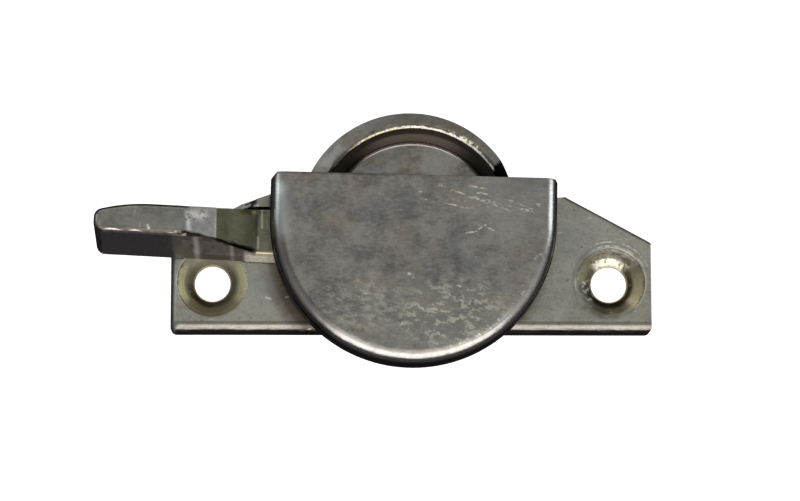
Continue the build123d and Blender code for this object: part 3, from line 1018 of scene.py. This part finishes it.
    def web(self, skin: Skin, place: Place, above: Value, ragged: Value) -> None:
        """The olive web between the grip and the arm, with thin light lines at its foot."""
        web = skin.patch((-25.0, 7.2), (5.4, 9.0), 0.0, 0.2) * above
        olive = skin.mix(ragged.ramp(0.3, 0.7), (0.25, 0.245, 0.165), (0.36, 0.355, 0.25))
        skin.rub(web * 0.85, olive, -0.40)
        skin.stain(skin.patch((-20.9, 7.2), (2.8, 9.0), 0.0, 0.2) * above * 0.8, (0.78, 0.76, 0.60), 0.1)
        skin.stain(place.x.ramp(-25.2, -26.8) * web, (0.66, 0.65, 0.58))
        skin.rub(skin.patch((-24.2, 7.4), (1.6, 4.4), 0.0, 1.4) * above * 0.5, (0.46, 0.45, 0.30), -0.1)
        skin.stain(skin.patch((-22.6, 9.6), (3.4, 0.9), 3.0, 0.4) * above, (0.42, 0.42, 0.28), 0.1)
        skin.rub(skin.patch((-22.4, 9.45), (0.7, 0.5), 20.0, 0.35) * 0.8, (0.95, 0.92, 0.50), 0.05)
        skin.rub(skin.patch((-21.35, 8.6), (0.22, 3.0), 0.0, 0.14) * 0.6, (0.80, 0.78, 0.66), 0.04)
        skin.rub(skin.patch((-21.9, 5.1), (0.22, 1.8), 0.0, 0.15) * 0.6, (0.85, 0.80, 0.56), 0.04)

    def web_front(self, skin: Skin, place: Place, above: Value, behind: Value) -> None:
        """A wavering dark line along the web's front edge, a painted dark reflection at its foot, and a golden painted
        highlight line.
        """
        sway = skin.noise(skin.place(stretch=(1.0, 0.3, 0.3)), 0.8, 3.0, 0.6) - 0.5
        line = (behind + sway * 0.5).band(0.04, 0.46, 0.06) * place.x.band(-32.3, -22.9, 0.4) * above
        skin.stain(line, (0.16, 0.15, 0.14), 0.30)
        # painted dark reflection at the web's foot
        dark_reflection = (behind - sway).band(-0.1, 0.55, 0.25) * place.x.band(-25.2, -22.7, 1.2) * above
        skin.stain(dark_reflection, (0.22, 0.21, 0.17), 0.2)
        # painted highlight: a golden line at the root's top front edge
        skin.rub(skin.patch((-21.0, 3.62), (2.4, 0.26), 0.0, 0.14), (1.0, 0.88, 0.52), 0.04)

    def front(self, skin: Skin, place: Place, behind: Value, ragged: Value) -> None:
        """The front face, partly painted light and shade: lightened and cooler on the grip, darker and browner on the
        web, with pale streaks and a pale root.
        """
        face = behind.ramp(0.10, 0.04) * place.x.ramp(-18.0, -19.0)
        # painted light: the grip's front face lightened, with a cool cast
        skin.rub(face * place.x.ramp(-33.0, -35.0) * 0.8, (0.62, 0.57, 0.60), -0.05)
        # painted shade: the web's front face darkened, with a brown cast
        skin.rub(face * place.x.band(-33.0, -24.0, 1.6) * 0.8, (0.31, 0.28, 0.25), -0.35)
        for across, width in self.front_streaks:
            skin.rub(skin.patch((across, 4.2), (width, 3.4), 0.0, 0.35) * face * 0.45, (1.0, 0.96, 0.90), -0.10)
        root = skin.patch((-21.7, 2.9), (4.4, 1.3), -4.0, 0.35) * face
        skin.rub(root * (ragged.ramp(0.30, 0.6, 0.5) + 0.5), (1.0, 0.98, 0.90), -0.25, 0.02)

    def grip_edge(self, skin: Skin, place: Place, behind: Value) -> None:
        """The grip's front edge, worn with a painted highlight between two dark lines of painted shade, with a nick,
        and small marks on its top.
        """
        ripple = skin.noise(skin.place((4.0, 0.0), 0.0, (1.0, 0.2, 0.2)), 0.55, 1.0) - 0.5
        edge = (behind + ripple * 0.6).band(-0.36, 0.14, 0.10) * place.z.ramp(11.3, 11.6)
        edge = edge * place.x.band(-43.4, -32.2, 0.5)
        uneven = skin.patchy(skin.place((6.0, 0.0), 0.0, (1.0, 0.5, 0.5)), 0.8, 0.3, 0.6, 0.4) + 0.6
        # painted shade: dark lines on each side of the edge's highlight
        brink = behind.band(-0.50, 0.60, 0.1) * place.z.ramp(11.2, 11.5)
        skin.stain(brink * (1.0 - edge), (0.50, 0.48, 0.47), 0.15)
        # worn edge with a painted highlight
        skin.rub(edge * uneven, (0.96, 0.89, 0.85), -0.04)
        skin.rub(skin.patch((-37.2, 6.55), (0.3, 0.7), 24.0, 0.15), (0.85, 0.83, 0.74), -0.1, 0.05)
        marks = skin.specks(skin.place((2.0, 5.0), 80.0, (0.5, 1.2, 1.0)), 0.7, 0.2)
        skin.rub(marks * place.x.ramp(-31.0, -33.0) * 0.4, (0.62, 0.61, 0.57), 0.05, 0.015)

    def dress(self) -> bpy.types.Material:
        """Brownish grey zinc, worn bright at its edges with painted highlights and shade, olive on the web."""
        skin = Skin(LEVER_PATINA)
        place, about = skin.whole, skin.place(PIVOT)
        self.rim(skin, place, about)
        self.rim_edge(skin, place, about)
        self.cup(skin, place, about)
        above = place.z.ramp(5.4, 5.9) * self.before_back(place).ramp(0.05, 0.15)
        ragged = skin.noise(place, 1.1, 4.0, 0.7)
        behind = self.behind_front(place)
        self.worn_end(skin, above, ragged)
        self.web(skin, place, above, ragged)
        self.web_front(skin, place, above, behind)
        self.front(skin, place, behind, ragged)
        self.grip_edge(skin, place, behind)
        return skin.done()


@dataclass(frozen=True)
class Steel:
    """Plain old steel of the pin and the washers."""

    name: str
    colour: Colour
    dirt: Colour
    roughness: float

    def material(self) -> bpy.types.Material:
        """Turned steel with dirt in its low places."""
        recipe = Recipe(self.name)
        place = recipe.place()
        dirt = recipe.noise(place, 0.9, 4.0).ramp(0.4, 0.7)
        fine = recipe.noise(place, 6.0)
        colour = recipe.mix(dirt, self.colour, self.dirt)
        roughness = self.roughness + dirt * 0.2 + fine * 0.1
        return recipe.finish(colour, roughness, fine * 0.01)


@dataclass
class SteelParts:
    """The pin and the two washers, which keep their CAD shapes."""

    pin: Steel = Steel("pin_steel", (0.42, 0.40, 0.37), (0.16, 0.12, 0.08), 0.32)
    washer: Steel = Steel("washer_steel", (0.5, 0.49, 0.46), (0.2, 0.16, 0.1), 0.28)

    def build(self, frame: dict) -> None:
        """Gives each steel node its finish.
        """
        finishes = {"pivot_pin": (self.pin, Slot.PIN), "thrust_washer": (self.washer, Slot.WASHER),
                    "spring_washer": (self.washer, Slot.WASHER)}
        for name, (steel, slot) in finishes.items():
            node = frame["nodes"][name]
            material = bpy.data.materials.get(steel.name) or steel.material()
            for place in node.material_slots:
                place.material = material
            log.info("%s: %s", name, steel.name)


@dataclass(frozen=True)
class SoftBox:
    """One soft area light."""

    name: str
    place: Triple
    width: float
    height: float
    radiance: float
    colour: Colour

    def build(self, target: Vector) -> None:
        """Makes the light and turns it to the target."""
        data = bpy.data.lights.new(self.name, "AREA")
        data.shape = "RECTANGLE"
        data.size = self.width
        data.size_y = self.height
        data.energy = self.radiance * math.pi * self.width * self.height
        data.color = self.colour
        light = bpy.data.objects.new(self.name, data)
        light.location = self.place
        light.rotation_euler = (target - light.location).to_track_quat("-Z", "Y").to_euler()
        light.visible_camera = False
        bpy.context.scene.collection.objects.link(light)


@dataclass
class Studio:
    """Camera, floor and soft light."""

    camera_place: Triple = (-0.0112, -0.0579, 0.430)
    camera_target: Triple = (-0.00162, 0.00454, 0.0033)
    camera_roll: float = -0.045
    focal_pixels: float = 3004.7
    sensor: float = 36.0
    nearest: float = 0.01
    farthest: float = 10.0
    floor_half: float = 0.6
    floor_drop: float = 0.05 * MM
    floor_grey: float = 0.9
    floor_glow: float = 0.9
    ceiling: Colour = (0.47, 0.47, 0.47)
    ground: Colour = (0.044, 0.041, 0.045)
    horizon: Point = (-0.1, 0.7)
    boxes: tuple[SoftBox, ...] = (
        SoftBox("front_low_box", (0.0, -0.51, 0.32), 1.05, 0.36, 1.45, (1.0, 0.955, 0.915)),
        SoftBox("front_high_box", (0.0, -0.27, 0.54), 0.60, 0.26, 0.7, (1.0, 0.96, 0.93)),
        SoftBox("left_box", (-0.55, 0.17, 0.24), 0.16, 0.26, 1.1, (0.82, 0.94, 1.0)),
        SoftBox("right_box", (0.56, 0.12, 0.20), 0.16, 0.30, 2.7, (0.86, 0.93, 1.0)),
        SoftBox("back_box", (-0.15, 0.55, 0.25), 0.50, 0.30, 0.35, (0.95, 0.98, 1.0)),
    )

    def camera(self) -> None:
        """Places the camera where the picture was taken from."""
        data = bpy.data.cameras.new("picture_camera")
        data.sensor_fit = "HORIZONTAL"
        data.sensor_width = self.sensor
        data.lens = self.focal_pixels / PICTURE_WIDTH * self.sensor
        data.clip_start = self.nearest
        data.clip_end = self.farthest
        camera = bpy.data.objects.new("picture_camera", data)
        eye = Vector(self.camera_place)
        ahead = (Vector(self.camera_target) - eye).normalized()
        right = ahead.cross(Vector((0, 1, 0))).normalized()
        up = right.cross(ahead)
        turned = Matrix((right, up, -ahead)).transposed().to_4x4()
        roll = Matrix.Rotation(math.radians(self.camera_roll), 4, "Z")
        camera.matrix_world = Matrix.Translation(eye) @ turned @ roll
        bpy.context.scene.collection.objects.link(camera)
        bpy.context.scene.camera = camera

    def floor(self) -> None:
        """A plain white floor that the metal doesn't mirror."""
        bpy.ops.object.select_all(action="DESELECT")
        bpy.ops.mesh.primitive_plane_add(size=2 * self.floor_half, location=(0, 0, -self.floor_drop))
        floor = bpy.context.object
        floor.name = "floor"
        material = bpy.data.materials.new("white_floor")
        material.use_nodes = True
        shader = material.node_tree.nodes["Principled BSDF"]
        shader.inputs["Base Color"].default_value = (*(self.floor_grey,) * 3, 1.0)
        shader.inputs["Roughness"].default_value = 0.9
        shader.inputs["Emission Color"].default_value = (1.0, 1.0, 1.0, 1.0)
        shader.inputs["Emission Strength"].default_value = self.floor_glow
        floor.data.materials.append(material)
        floor.visible_glossy = False

    def light(self) -> None:
        """A dim even room, dark below the horizon, and the soft boxes."""
        world = bpy.data.worlds.new("room")
        world.use_nodes = True
        bpy.context.scene.world = world
        room = Tree(world.node_tree)
        height = room.axes(room.node("TexCoord", {}, {}, "Generated"))[2]
        light = room.mix(height.ramp(*self.horizon), self.ground, self.ceiling)
        room.feed(world.node_tree.nodes["Background"].inputs[0], light)
        for box in self.boxes:
            box.build(Vector(self.camera_target))

    def build(self) -> None:
        """Makes the whole studio."""
        self.camera()
        self.floor()
        self.light()
        bpy.context.scene.view_settings.view_transform = "Standard"
        log.info("studio: %d soft boxes", len(self.boxes))


def main() -> None:
    """Builds the lock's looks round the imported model."""
    logging.basicConfig(level=logging.INFO, format="%(name)s: %(message)s")
    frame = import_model()
    for casting in (BasePlate(), HousingCap(), CamLever()):
        casting.build(frame)
    SteelParts().build(frame)
    Studio().build()


if __name__ == "__main__":
    main()
